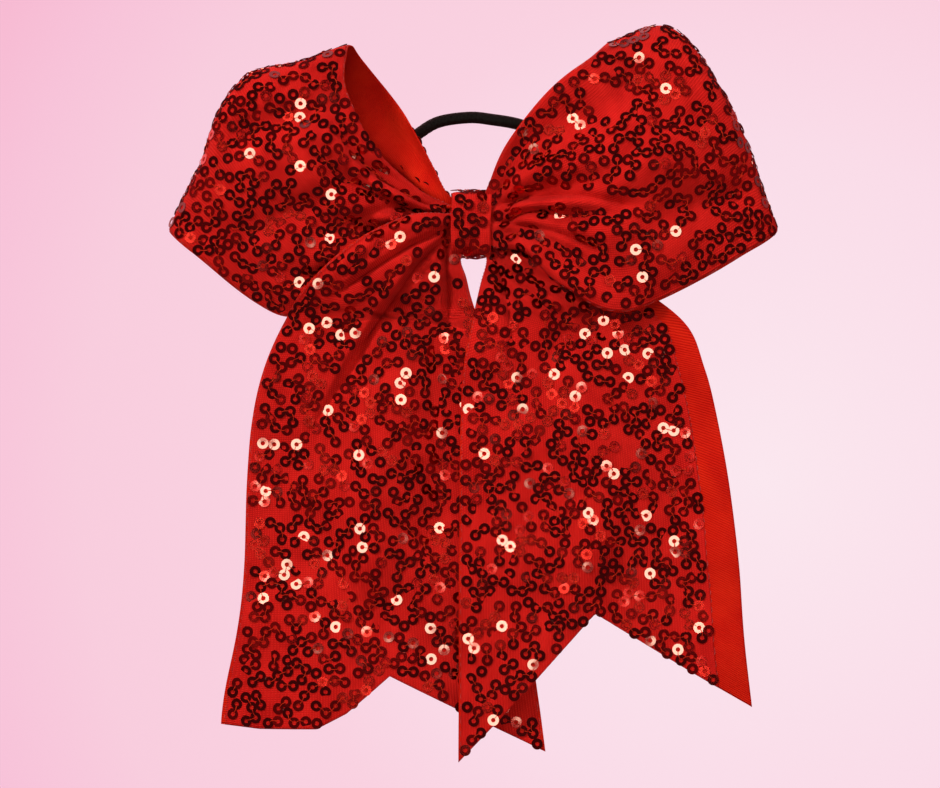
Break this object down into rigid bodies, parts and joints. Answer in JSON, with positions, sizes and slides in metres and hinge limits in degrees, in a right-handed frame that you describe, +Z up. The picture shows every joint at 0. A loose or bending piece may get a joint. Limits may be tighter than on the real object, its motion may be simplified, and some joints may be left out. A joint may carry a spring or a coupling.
{
  "type": "cheer hair bow",
  "caption": "Large sequinned ribbon hair bow with side loops, hanging notched tails, a wrapped knot and a rear elastic for a ponytail.",
  "frame": {"origin": "centre of the knot's flat rear face, which lies against the hair", "axes": "+Z up as worn, along the bow's height; +Y out of the knot's rear face, towards the hair, so the front of the bow faces -Y; +X to the viewer's right"},
  "size_m": [0.1601, 0.0539, 0.1918],
  "materials": {
    "ribbon_satin": "red grosgrain-backed satin ribbon, soft sheen",
    "sequin_mesh": "red mesh covered in stitched sequins",
    "sequin": "mirror-like metallised red film",
    "nylon_tie": "natural nylon",
    "hot_glue": "cloudy hot-melt glue",
    "elastic_braid": "black braided polyester",
    "elastic_core": "matt latex strands",
    "ferrule": "crimped and brushed"
  },
  "bodies": {
    "knot": {"knot_band": "ribbon_satin", "knot_sequins": "sequin", "zip_tie": "nylon_tie", "glue_front": "hot_glue", "glue_rear": "hot_glue", "gathered_ribbon": "ribbon_satin", "left_tail_top_ribbon": "ribbon_satin", "left_tail_top_sequin_mesh": "sequin_mesh", "right_tail_top_ribbon": "ribbon_satin", "right_tail_top_sequin_mesh": "sequin_mesh"},
    "left_loop": {"left_loop_ribbon": "ribbon_satin", "left_loop_sequin_mesh": "sequin_mesh"},
    "right_loop": {"right_loop_ribbon": "ribbon_satin", "right_loop_sequin_mesh": "sequin_mesh"},
    "left_tail": {"left_tail_ribbon": "ribbon_satin", "left_tail_sequin_mesh": "sequin_mesh"},
    "right_tail": {"right_tail_ribbon": "ribbon_satin", "right_tail_sequin_mesh": "sequin_mesh"},
    "hair_elastic": {"elastic_cover": "elastic_braid", "elastic_core": "elastic_core", "elastic_joint": "ferrule"}
  },
  "joints": [
    {"name": "left_loop_flex", "type": "hinge", "parent": "knot", "child": "left_loop", "pos_m": [-0.008, -0.011, 0], "axis": [0, 0, 1], "range_deg": [-10, 0]},
    {"name": "right_loop_flex", "type": "hinge", "parent": "knot", "child": "right_loop", "pos_m": [0.008, -0.011, 0], "axis": [0, 0, 1], "range_deg": [-12, 0]},
    {"name": "left_tail_swing", "type": "hinge", "parent": "knot", "child": "left_tail", "pos_m": [-0.023, -0.0145, -0.026], "axis": [1, 0, 0], "range_deg": [0, 35]},
    {"name": "right_tail_swing", "type": "hinge", "parent": "knot", "child": "right_tail", "pos_m": [0.028, -0.0185, -0.026], "axis": [1, 0, 0], "range_deg": [-40, 0]},
    {"name": "elastic_swing", "type": "hinge", "parent": "knot", "child": "hair_elastic", "pos_m": [0, -0.0042, 0], "axis": [1, 0, 0], "range_deg": [-100, 0]}
  ]
}
